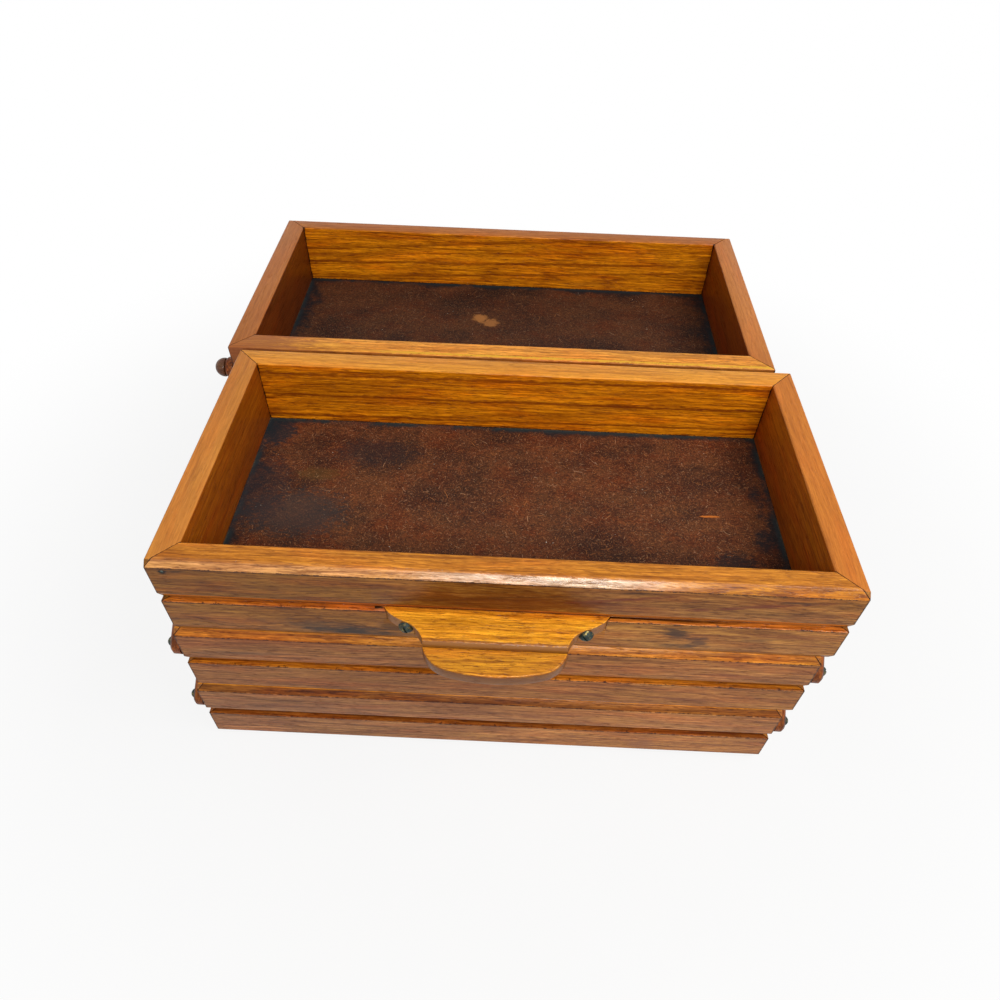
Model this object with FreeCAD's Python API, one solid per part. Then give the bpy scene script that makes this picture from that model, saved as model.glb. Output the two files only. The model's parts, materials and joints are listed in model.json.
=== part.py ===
import FreeCAD, Part
import math
import os
from collections import namedtuple

# A wooden sewing box whose trays swing out on parallel links, shown closed.
# Millimetres and degrees. X runs along the box, Y from front to rear, Z up.
# The origin is the centre of the underside of the base.

# Trays: two stacks of half depth stand back to back on a base of full depth.
tray_length = 300.0
tray_depth = 148.5
tier_height = 51.5
stack_gap = 2.0
wall = 12.4
rim_ease = 0.7
# Slack pivots let each tray stand a little to the side of the one below it.
front_tier_shift = 2.8
rear_tier_shift = -1.0

# Moulding run along the front and rear faces of every tray.
bevel_depth = 3.2
bevel_height = 3.0
notch_depth = 3.0
notch_height = 5.9
ledge_height = 24.8
foot_depth = 3.0
foot_height = 6.0

# Hardboard floors held in grooves.
panel_thickness = 3.0
panel_drop = 38.0
groove_depth = 4.0
groove_end_room = 0.4
groove_face_room = 0.15

# Pivots and the flat wooden links that carry the trays.
pivot_height = 31.0
pivot_inset = 8.0
link_width = 12.0
link_thickness = 5.0
link_ease = 1.3
link_clearance = 0.1
pivot_clearance = 0.08

# Round headed screws. A bite is how far a screw or peg enters the wood behind its link or pull.
screw_radius = 1.75
screw_hole_room = 0.05
screw_bite = 5.8
tip_room = 0.2
pivot_head_radius = 2.7
pivot_head_height = 2.8
screw_band_count = 2
head_clearance = 0.1

# Domed wooden pegs at the inner pivots of the rear top tray.
peg_radius = 3.0
peg_bite = 10.0
peg_head_radius = 5.3
peg_head_height = 6.3
peg_band_count = 4

# Pull: a flat plate with an ogee outline, let into the ledge of a top tray.
pull_width = 99.0
pull_projection = 30.1
pull_thickness = 6.8
pull_offset = -3.2
pull_rise = 0.8
pull_fit = 0.1
pull_back_room = 0.2
tip_width = 95.8
shoulder_width = 80.0
shoulder_out = 4.8
shoulder_sagitta = 0.5
waist_width = 61.4
waist_out = 14.8
cove_sagitta = 1.8
lobe_out = 17.3
nose_width = 41.0
nose_sagitta = 2.6
pull_under_ease = 0.7
pull_top_ease = 0.6
flute_out = 15.4
flute_width = 3.9
flute_depth = 1.1
pull_seat_out = 5.0
pull_seat_room = 0.5

# Each pull is held by two screws, low in its wings, whose slots show from the front.
pull_screw_spread = 78.0
pull_screw_rise = 2.2
pull_screw_bite = 10.0
pull_head_radius = 3.5
pull_head_height = 2.6
slot_width = 0.9
slot_depth = 1.0
slot_turn = 37.0

# One nail pins the left corner of the front top tray.
nail_radius = 0.8
nail_length = 22.0
nail_from_end = 7.0
nail_from_rim = 5.2
nail_hole_room = 0.05

# A margin that cutting shapes run past the faces they cut.
past = 1.0

# Sizes that follow from those above.
box_half_depth = stack_gap / 2 + tray_depth
pivot_run = tray_depth / 2 - pivot_inset
link_pitch = math.hypot(pivot_run, tier_height)
floor_top = tier_height - panel_drop
top_tier = 2
tiers = top_tier + 1

# The links slope with the shift, so they stand off the trays by what they come closer on the way
# from a pivot to the furthest point at which they pass the tray that it belongs to.
link_slope = max(abs(front_tier_shift), abs(rear_tier_shift)) / link_pitch
passing_height = max(pivot_height, tier_height - pivot_height)
passing_run = (passing_height * link_pitch + link_width / 2 * pivot_run) / tier_height
link_gap = link_clearance + link_slope * passing_run

# How far two faces or edges may lie apart and still count as one.
same = 1e-6

STACKS = {"front": -1, "rear": 1}
TIER_SHIFTS = {"front": front_tier_shift, "rear": rear_tier_shift}
SIDES = {"left": -1, "right": 1}
TRAY_SLOTS = {0: ("outer", "middle"), 1: ("outer", "middle", "inner"), 2: ("middle", "inner")}
LINKS = {
    "long_link": ((0, "outer"), (1, "middle"), (2, "inner")),
    "base_link": ((0, "middle"), (1, "inner")),
    "tray_link": ((1, "outer"), (2, "middle")),
}

Tray = namedtuple("Tray", "name tier centre_x y_low y_high stacks")


def vec(x, y, z):
    return FreeCAD.Vector(x, y, z)


def box(x_low, x_high, y_low, y_high, z_low, z_high):
    return Part.makeBox(x_high - x_low, y_high - y_low, z_high - z_low, vec(x_low, y_low, z_low))


def prism(points, direction):
    return Part.Face(Part.makePolygon(points + points[:1])).extrude(direction)


def shift(stack, tier):
    return TIER_SHIFTS[stack] * tier


def pivot_y(stack, slot):
    middle = stack_gap / 2 + tray_depth / 2
    steps = {"outer": 1, "middle": 0, "inner": -1}
    return STACKS[stack] * (middle + steps[slot] * pivot_run)


def pivot_z(tier):
    return tier * tier_height + pivot_height


def side_face(tray, side):
    return tray.centre_x + SIDES[side] * tray_length / 2


def has_peg(stack, tier, slot):
    return stack == "rear" and tier == top_tier and slot == "inner"


# The five trays, the base first.
def make_trays():
    trays = [Tray("base", 0, 0.0, -box_half_depth, box_half_depth, ("front", "rear"))]
    for stack, facing in STACKS.items():
        near = facing * stack_gap / 2
        far = facing * box_half_depth
        for tier, label in ((1, "middle_tray"), (2, "top_tray")):
            name = stack + "_" + label
            trays.append(Tray(name, tier, shift(stack, tier), min(near, far), max(near, far), (stack,)))
    return trays


# Where the long outer faces of a tray lie. The faces between two stacks are inner ones.
def is_outer(face_y):
    return abs(abs(face_y) - box_half_depth) < same


# Half of the tray's outline across its length, from the foot to the rim. out is -1 or +1. Only
# outer faces are moulded.
def side_outline(face_y, out, z_low):
    rim_z = z_low + tier_height
    ledge_z = z_low + ledge_height
    if not is_outer(face_y):
        return [(face_y, z_low), (face_y, rim_z)]
    return [
        (face_y - out * foot_depth, z_low),
        (face_y, z_low + foot_height),
        (face_y, ledge_z),
        (face_y - out * notch_depth, ledge_z),
        (face_y, ledge_z + notch_height),
        (face_y, rim_z - bevel_height),
        (face_y - out * bevel_depth, rim_z),
    ]


# A tray's four walls in one piece, eased along the rim.
def tray_ring(tray):
    z_low = tray.tier * tier_height
    rim_z = z_low + tier_height
    x_low = side_face(tray, "left")
    outline = side_outline(tray.y_low, -1, z_low) + side_outline(tray.y_high, 1, z_low)[::-1]
    ring = prism([vec(x_low, y, z) for y, z in outline], vec(tray_length, 0, 0))
    x_high = side_face(tray, "right")
    cavity = box(x_low + wall, x_high - wall, tray.y_low + wall, tray.y_high - wall,
                 z_low - past, rim_z + past)
    ring = ring.cut(cavity)
    return ring.makeChamfer(rim_ease, rim_edges(ring, rim_z))


# Edges of the rim that get eased: all of them but the ones over a bevel.
def rim_edges(ring, rim_z):
    chosen = []
    for edge in ring.Edges:
        on_rim = abs(edge.BoundBox.ZMin - rim_z) < same
        along = edge.BoundBox.YLength < same
        on_bevel = along and abs(abs(edge.BoundBox.YMin) + bevel_depth - box_half_depth) < same
        if on_rim and not on_bevel:
            chosen.append(edge)
    return chosen


# The wedge of plan that one board fills, mitred through both its corners.
def mitred_wedge(tray, side):
    x_low = side_face(tray, "left")
    x_high = side_face(tray, "right")
    grow = past
    reach = wall + past
    outer = {
        "low": ((x_low - grow, tray.y_low - grow), (x_high + grow, tray.y_low - grow)),
        "high": ((x_high + grow, tray.y_high + grow), (x_low - grow, tray.y_high + grow)),
        "left": ((x_low - grow, tray.y_high + grow), (x_low - grow, tray.y_low - grow)),
        "right": ((x_high + grow, tray.y_low - grow), (x_high + grow, tray.y_high + grow)),
    }[side]
    inner = []
    for x, y in outer:
        in_x = x_low + reach if x < tray.centre_x else x_high - reach
        in_y = tray.y_low + reach if y < (tray.y_low + tray.y_high) / 2 else tray.y_high - reach
        inner.append((in_x, in_y))
    z_low = tray.tier * tier_height - past
    points = [vec(x, y, z_low) for x, y in list(outer) + inner[::-1]]
    return prism(points, vec(0, 0, tier_height + 2 * past))


# The slab of room that the floor panel's groove takes out of the walls.
def groove_slab(tray):
    z_top = tray.tier * tier_height + floor_top + groove_face_room
    z_low = tray.tier * tier_height + floor_top - panel_thickness
    inset = wall - groove_depth
    x_low = side_face(tray, "left") + inset
    x_high = side_face(tray, "right") - inset
    return box(x_low, x_high, tray.y_low + inset, tray.y_high - inset, z_low, z_top)


def floor_panel(tray):
    z_top = tray.tier * tier_height + floor_top
    inset = wall - groove_depth + groove_end_room
    x_low = side_face(tray, "left") + inset
    x_high = side_face(tray, "right") - inset
    return box(x_low, x_high, tray.y_low + inset, tray.y_high - inset, z_top - panel_thickness, z_top)


def rod_x(x_from, x_to, y, z, radius):
    start = min(x_from, x_to)
    return Part.makeCylinder(radius, abs(x_to - x_from), vec(start, y, z), vec(1, 0, 0))


# Holes for the pivot screws and pegs in the ends of a tray.
def pivot_holes(tray):
    holes = []
    for stack in tray.stacks:
        for slot in TRAY_SLOTS[tray.tier]:
            pegged = has_peg(stack, tray.tier, slot)
            radius = (peg_radius if pegged else screw_radius) + screw_hole_room
            depth = (peg_bite if pegged else screw_bite) + tip_room
            for side, out in SIDES.items():
                face = side_face(tray, side)
                y = pivot_y(stack, slot)
                z = pivot_z(tray.tier)
                holes.append(rod_x(face + out * past, face - out * depth, y, z, radius))
    return holes


# The four boards of a tray. The pull, its screws and the nail take their room out of them too.
def tray_boards(tray):
    ring = tray_ring(tray).cut(groove_slab(tray))
    room = pivot_holes(tray)
    if tray.tier == top_tier:
        room += pull_room(tray.stacks[0])
    if tray.name == "front_top_tray":
        room.append(corner_nail(nail_hole_room))
    ring = ring.cut(Part.makeCompound(room))
    names = {"low": "front_board", "high": "rear_board", "left": "left_board", "right": "right_board"}
    return {name: ring.common(mitred_wedge(tray, side)) for side, name in names.items()}


# A flat bar with round ends through its pivots, eased along the outer edges and drilled along X.
def link(stack, side, pivots):
    out = SIDES[side]
    points = []
    for tier, slot in pivots:
        centre = out * (tray_length / 2 + link_gap + link_thickness / 2)
        points.append(vec(centre + shift(stack, tier), pivot_y(stack, slot), pivot_z(tier)))
    along = (points[-1] - points[0]).normalize()
    outward = (vec(out, 0, 0) - along * along.x * out).normalize()
    across = outward.cross(along)
    length = (points[-1] - points[0]).Length
    bar = round_ended_bar(length)
    bar.Placement = FreeCAD.Placement(points[0], FreeCAD.Rotation(along, across, outward, "XZY"))
    for point, (tier, slot) in zip(points, pivots):
        radius = peg_radius if has_peg(stack, tier, slot) else screw_radius
        reach = link_thickness
        bar = bar.cut(rod_x(point.x - reach, point.x + reach, point.y, point.z, radius + pivot_clearance))
    return bar


# The bar before it is placed: from the first pivot along X, width along Y, thickness about z = 0.
def round_ended_bar(length):
    half = link_width / 2
    low = -link_thickness / 2
    lower = Part.LineSegment(vec(0, -half, low), vec(length, -half, low))
    far_end = Part.Arc(vec(length, -half, low), vec(length + half, 0, low), vec(length, half, low))
    upper = Part.LineSegment(vec(length, half, low), vec(0, half, low))
    near_end = Part.Arc(vec(0, half, low), vec(-half, 0, low), vec(0, -half, low))
    wire = Part.Wire([curve.toShape() for curve in (lower, far_end, upper, near_end)])
    bar = Part.Face(wire).extrude(vec(0, 0, link_thickness))
    outer_edges = [edge for edge in bar.Edges if edge.BoundBox.ZMin > 0]
    return bar.makeChamfer(link_ease, outer_edges)


# Section of a domed head about X, in straight bands from the rim of its flat underside to its top.
def dome_outline(radius, height, bands):
    ball_radius = (radius ** 2 + height ** 2) / (2 * height)
    reach = math.acos(1 - height / ball_radius)
    points = []
    for band in range(bands + 1):
        angle = reach * (1 - band / bands)
        points.append(vec(height - ball_radius * (1 - math.cos(angle)), ball_radius * math.sin(angle), 0))
    return points


# A domed head on a plain shank, turned about X, with the head's flat underside at x = 0.
def domed_pin(shank_radius, shank_length, head_radius, head_height, bands):
    outline = dome_outline(head_radius, head_height, bands)
    outline += [
        vec(-shank_length, 0, 0),
        vec(-shank_length, shank_radius, 0),
        vec(0, shank_radius, 0),
    ]
    half_section = Part.Face(Part.makePolygon(outline + outline[:1]))
    return half_section.revolve(vec(0, 0, 0), vec(1, 0, 0), 360)


# Pivot screws or pegs of one tray, placed in its ends with their heads over the links.
def pivot_pins(tray, pegs):
    pins = []
    for stack in tray.stacks:
        for slot in TRAY_SLOTS[tray.tier]:
            if has_peg(stack, tray.tier, slot) == pegs:
                pins += [placed_pin(tray, stack, slot, side, pegs) for side in SIDES]
    return Part.makeCompound(pins)


def placed_pin(tray, stack, slot, side, pegs):
    head_radius = peg_head_radius if pegs else pivot_head_radius
    seat = link_gap + link_thickness + head_clearance + head_radius * link_slope
    if pegs:
        pin = domed_pin(peg_radius, seat + peg_bite, head_radius, peg_head_height, peg_band_count)
    else:
        pin = domed_pin(screw_radius, seat + screw_bite, head_radius, pivot_head_height, screw_band_count)
    if side == "left":
        pin.rotate(vec(0, 0, 0), vec(0, 0, 1), 180)
    x = side_face(tray, side) + SIDES[side] * seat
    pin.translate(vec(x, pivot_y(stack, slot), pivot_z(tray.tier)))
    return pin


# Arc between two points of the pull's plan, bowed by a sagitta to the left of its direction.
def bowed_arc(start, end, sagitta):
    chord = end - start
    side = vec(-chord.y, chord.x, 0).normalize()
    middle = (start + end) * 0.5 + side * sagitta
    return Part.Arc(start, middle, end)


# A pull sits across the ledge of its top tray. Its place is worked out for the front, and the rear
# one is turned half way round.
pull_centre_x = front_tier_shift * top_tier + pull_offset
pull_ledge_z = top_tier * tier_height + ledge_height
pull_top_z = pull_ledge_z + pull_rise
pull_low_z = pull_top_z - pull_thickness
pull_screw_z = pull_low_z + pull_screw_rise
pull_seat_y = -box_half_depth - pull_seat_out
pull_screw_places = [pull_centre_x - pull_screw_spread / 2, pull_centre_x + pull_screw_spread / 2]


# How far a lobe is bowed where it runs smoothly into the nose.
def lobe_sagitta():
    across = (waist_width - nose_width) / 2
    outward = pull_projection - nose_sagitta - lobe_out
    nose_turn = 2 * math.atan(2 * nose_sagitta / nose_width)
    lobe_turn = math.atan2(outward, across) - nose_turn
    return math.hypot(across, outward) / 2 * math.tan(lobe_turn / 2)


# How far the pull is let into the face, so that its back edge clears the notch above the ledge.
def pull_housing():
    return notch_depth * (1 - pull_rise / notch_height) - pull_back_room


# Half of the ogee outline in plan, for side +1 or -1: a wing from its back to the waist's far end,
# and the lobe from there to the nose.
def half_outline(side):
    def at(half_width, out):
        return vec(pull_centre_x + side * half_width, -box_half_depth - out, 0)

    back = at(pull_width / 2, -pull_housing())
    tip = at(tip_width / 2, 0)
    shoulder = at(shoulder_width / 2, shoulder_out)
    waist = at(waist_width / 2, waist_out)
    lobe = at(waist_width / 2, lobe_out)
    nose = at(nose_width / 2, pull_projection - nose_sagitta)
    wing = [
        Part.LineSegment(back, tip),
        bowed_arc(tip, shoulder, side * shoulder_sagitta),
        bowed_arc(shoulder, waist, -side * cove_sagitta),
        Part.LineSegment(waist, lobe),
    ]
    return wing, bowed_arc(lobe, nose, side * lobe_sagitta())


# A slab of the pull's thickness over a closed plan.
def pull_slab(curves):
    edges = Part.sortEdges([curve.toShape() for curve in curves])[0]
    slab = Part.Face(Part.Wire(edges)).extrude(vec(0, 0, pull_thickness))
    slab.translate(vec(0, 0, pull_low_z))
    return slab


# The curved edges of a slab at one level.
def curved_edges(slab, z):
    level = [edge for edge in slab.Edges if abs(edge.BoundBox.ZMin - z) + edge.BoundBox.ZLength < same]
    return [edge for edge in level if edge.BoundBox.YLength > same]


# The pull of the front top tray, its lobes and nose eased and a flute across its top.
def front_pull():
    left_wing, left_lobe = half_outline(-1)
    right_wing, right_lobe = half_outline(1)
    back = Part.LineSegment(left_wing[0].StartPoint, right_wing[0].StartPoint)
    across = Part.LineSegment(left_lobe.StartPoint, right_lobe.StartPoint)
    nose_y = -box_half_depth - pull_projection
    nose = Part.Arc(left_lobe.EndPoint, vec(pull_centre_x, nose_y, 0), right_lobe.EndPoint)
    front = pull_slab([across, left_lobe, nose, right_lobe])
    front = front.makeChamfer(pull_under_ease, curved_edges(front, pull_low_z))
    front = front.makeChamfer(pull_top_ease, curved_edges(front, pull_top_z))
    plate = pull_slab(left_wing + right_wing + [back, across]).fuse(front).removeSplitter()
    flute_radius = (flute_width ** 2 / 4 + flute_depth ** 2) / (2 * flute_depth)
    flute = rod_x(pull_centre_x - pull_width, pull_centre_x + pull_width, -box_half_depth - flute_out,
                  pull_top_z - flute_depth + flute_radius, flute_radius)
    plate = plate.cut(flute)
    for x in pull_screw_places:
        plate = plate.cut(pull_seat(x))
        plate = plate.cut(pull_screw_hole(x))
    return plate


# Flat seat for a screw's head, cut into the curved edge of a wing.
def pull_seat(x):
    radius = pull_head_radius + pull_seat_room
    return Part.makeCylinder(radius, pull_projection, vec(x, pull_seat_y, pull_screw_z), vec(0, -1, 0))


def pull_screw_hole(x):
    radius = screw_radius + screw_hole_room
    length = pull_seat_out + pull_screw_bite + tip_room
    return Part.makeCylinder(radius, length, vec(x, pull_seat_y, pull_screw_z), vec(0, 1, 0))


# Room that a pull takes out of the boards behind it: a housing with the slant of the wings' ends,
# and two screw holes.
def pull_room(stack):
    slant = (pull_width - tip_width) / 2 / pull_housing()
    depth = pull_housing() + pull_fit
    low_z = pull_low_z - pull_fit
    corners = []
    for inward, side in ((-past, -1), (-past, 1), (depth, 1), (depth, -1)):
        half = tip_width / 2 + inward * slant + pull_fit
        corners.append(vec(pull_centre_x + side * half, inward - box_half_depth, low_z))
    room = [prism(corners, vec(0, 0, pull_ledge_z + pull_fit - low_z))]
    room += [pull_screw_hole(x) for x in pull_screw_places]
    return [turned_for(stack, shape) for shape in room]


# Round headed screws through the wings, with their slots turned about their axes.
def pull_screws():
    length = pull_seat_out + pull_screw_bite
    screws = []
    for index, x in enumerate(pull_screw_places):
        screw = domed_pin(screw_radius, length, pull_head_radius, pull_head_height, screw_band_count)
        slot = box(pull_head_height - slot_depth, pull_head_height + past, -2 * pull_head_radius,
                   2 * pull_head_radius, -slot_width / 2, slot_width / 2)
        slot.rotate(vec(0, 0, 0), vec(1, 0, 0), index * slot_turn)
        screw = screw.cut(slot)
        screw.rotate(vec(0, 0, 0), vec(0, 0, 1), -90)
        screw.translate(vec(x, pull_seat_y, pull_screw_z))
        screws.append(screw)
    return Part.makeCompound(screws)


# Turns a shape made for the front stack half way round for the rear one.
def turned_for(stack, shape):
    if stack == "rear":
        shape = shape.copy()
        shape.rotate(vec(0, 0, 0), vec(0, 0, 1), 180)
    return shape


# The nail, or with some room round it the hole for it.
def corner_nail(room):
    x = shift("front", top_tier) - tray_length / 2 + nail_from_end
    z = tiers * tier_height - nail_from_rim
    start = vec(x, -box_half_depth, z)
    return Part.makeCylinder(nail_radius + room, nail_length + room, start, vec(0, 1, 0))


def make_parts():
    parts = {}
    for tray in make_trays():
        for name, board in tray_boards(tray).items():
            parts[tray.name + "_" + name] = board
        parts[tray.name + "_floor_panel"] = floor_panel(tray)
        parts[tray.name + "_pivot_screws"] = pivot_pins(tray, False)
        if tray.name == "rear_top_tray":
            parts["rear_top_tray_pivot_pegs"] = pivot_pins(tray, True)
    for stack in STACKS:
        for side in SIDES:
            for name, pivots in LINKS.items():
                parts["_".join((stack, side, name))] = link(stack, side, pivots)
        parts[stack + "_pull"] = turned_for(stack, front_pull())
        parts[stack + "_pull_screws"] = turned_for(stack, pull_screws())
    parts["front_top_tray_corner_nail"] = corner_nail(0.0)
    return parts


os.makedirs("parts", exist_ok=True)
for part_name, shape in make_parts().items():
    for solid in shape.Solids:
        assert solid.isValid(), part_name
    shape.exportStep("parts/" + part_name + ".step")
    print(part_name, len(shape.Solids), "solids", round(shape.Volume, 1), "mm3")
opening = 180 - 2 * math.degrees(math.atan2(tier_height, pivot_run))
print("each stack opens by", round(opening, 3), "degrees")
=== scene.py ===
import json
import math
import random
from collections import namedtuple

import bmesh
import bpy
from mathutils import Matrix, Vector

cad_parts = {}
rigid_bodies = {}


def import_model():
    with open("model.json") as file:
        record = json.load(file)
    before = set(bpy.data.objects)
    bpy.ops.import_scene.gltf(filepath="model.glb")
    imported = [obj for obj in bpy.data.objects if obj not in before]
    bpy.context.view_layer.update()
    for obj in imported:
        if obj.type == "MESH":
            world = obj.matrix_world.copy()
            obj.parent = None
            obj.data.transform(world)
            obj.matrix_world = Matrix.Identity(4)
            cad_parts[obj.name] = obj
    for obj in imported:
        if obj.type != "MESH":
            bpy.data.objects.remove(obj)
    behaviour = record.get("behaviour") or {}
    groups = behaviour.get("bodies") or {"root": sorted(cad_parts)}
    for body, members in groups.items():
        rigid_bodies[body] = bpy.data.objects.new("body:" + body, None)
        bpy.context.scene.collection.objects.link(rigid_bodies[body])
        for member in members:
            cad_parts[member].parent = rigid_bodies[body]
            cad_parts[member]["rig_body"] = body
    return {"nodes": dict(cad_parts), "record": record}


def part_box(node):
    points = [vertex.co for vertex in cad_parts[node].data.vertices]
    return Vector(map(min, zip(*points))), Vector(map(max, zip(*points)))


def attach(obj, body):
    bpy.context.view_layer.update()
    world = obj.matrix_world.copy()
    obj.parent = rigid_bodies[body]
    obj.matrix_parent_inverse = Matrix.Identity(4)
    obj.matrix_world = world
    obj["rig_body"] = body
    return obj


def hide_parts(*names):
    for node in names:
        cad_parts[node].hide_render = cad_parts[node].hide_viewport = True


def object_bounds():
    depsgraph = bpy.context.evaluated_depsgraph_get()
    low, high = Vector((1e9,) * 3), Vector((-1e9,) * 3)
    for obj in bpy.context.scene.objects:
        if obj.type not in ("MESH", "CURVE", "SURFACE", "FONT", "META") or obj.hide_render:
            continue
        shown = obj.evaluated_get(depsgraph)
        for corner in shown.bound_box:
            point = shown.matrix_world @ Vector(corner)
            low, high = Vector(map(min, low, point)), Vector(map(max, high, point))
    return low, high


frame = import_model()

cad_low, cad_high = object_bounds()

# The looks of a closed wooden sewing box. Meshes, lamps and the camera are in metres, MM is a
# millimetre, and shaders and what only they read are in millimetres.
MM = 0.001
X, Y, Z = Vector((1, 0, 0)), Vector((0, 1, 0)), Vector((0, 0, 1))
STACKS = {"front": -1, "rear": 1}
TRAYS = ("base", "front_middle_tray", "front_top_tray", "rear_middle_tray", "rear_top_tray")
SIDES = ("front", "rear", "left", "right")

# In millimetres: the boards with their moulding, the links, and a pull's flute from its outer edge.
WALL = 12.4
MOULDING_DEPTH = 4.0
BEVEL_HEIGHT = 3.0
LEDGE_HEIGHT = 24.8
NOTCH_TOP = 31.0
FLOOR_HEIGHT = 13.5
TIER_HEIGHT = 51.5
PIVOT_RUN = 66.25
LINK_HALF = 6.0
FLUTE_IN = 14.7
FLUTE_HALF = 1.95


# Camera

# The photograph's camera, found from the corners of the trays: a frame of 1000 by 1000 pixels.
FOCAL_PIXELS = 749.3
FRAME_PIXELS = 1000
SENSOR_WIDTH = 36.0
CAMERA_AT = Vector((4.19, -334.95, 400.42)) * MM
CAMERA_YAW, CAMERA_PITCH, CAMERA_ROLL = (math.radians(angle) for angle in (-0.662, 46.928, 2.067))


def make_camera():
    data = bpy.data.cameras.new("camera")
    data.sensor_width = SENSOR_WIDTH
    data.lens = FOCAL_PIXELS / FRAME_PIXELS * SENSOR_WIDTH
    data.clip_start = 0.01
    camera = bpy.data.objects.new("camera", data)
    flat = math.cos(CAMERA_PITCH)
    ahead = Vector((math.sin(CAMERA_YAW) * flat, math.cos(CAMERA_YAW) * flat, -math.sin(CAMERA_PITCH)))
    level = Vector((math.cos(CAMERA_YAW), -math.sin(CAMERA_YAW), 0))
    upright = level.cross(ahead)
    right = level * math.cos(CAMERA_ROLL) + upright * math.sin(CAMERA_ROLL)
    up = upright * math.cos(CAMERA_ROLL) - level * math.sin(CAMERA_ROLL)
    camera.matrix_world = Matrix.Translation(CAMERA_AT) @ Matrix((right, up, -ahead)).transposed().to_4x4()
    bpy.context.scene.collection.objects.link(camera)
    bpy.context.scene.camera = camera


# Light and surroundings

# Two soft lamps: where each one stands, the lengths of its sides, its watts and its colour.
LAMPS = {
    "top_softbox": ((0.72, -0.33, 1.18), (0.8, 0.7), 8.6, (1.0, 0.985, 0.96)),
    "front_window": ((0.14, -1.03, 0.98), (0.36, 0.30), 7.6, (1.0, 0.98, 0.95)),
}
LAMP_TARGET = Vector((0, 0, 0.1))

WHITE = (1.0, 1.0, 1.0)
SKY_COLOUR, SKY_STRENGTH = (1.0, 0.99, 0.97), 0.36
FLOOR_HALF = 4.0

# How white the floor is near the box, and where it fades to wholly white, in millimetres from it.
NEAR_WHITE = 0.86
FADE_START, FADE_END = 220.0, 480.0


def make_light():
    for name, (at, size, watts, colour) in LAMPS.items():
        data = bpy.data.lights.new(name, "AREA")
        data.shape = "RECTANGLE"
        data.size, data.size_y = size
        data.energy = watts
        data.color = colour
        lamp = bpy.data.objects.new(name, data)
        lamp.location = at
        lamp.rotation_euler = (LAMP_TARGET - Vector(at)).to_track_quat("-Z", "Y").to_euler()
        bpy.context.scene.collection.objects.link(lamp)


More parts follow.
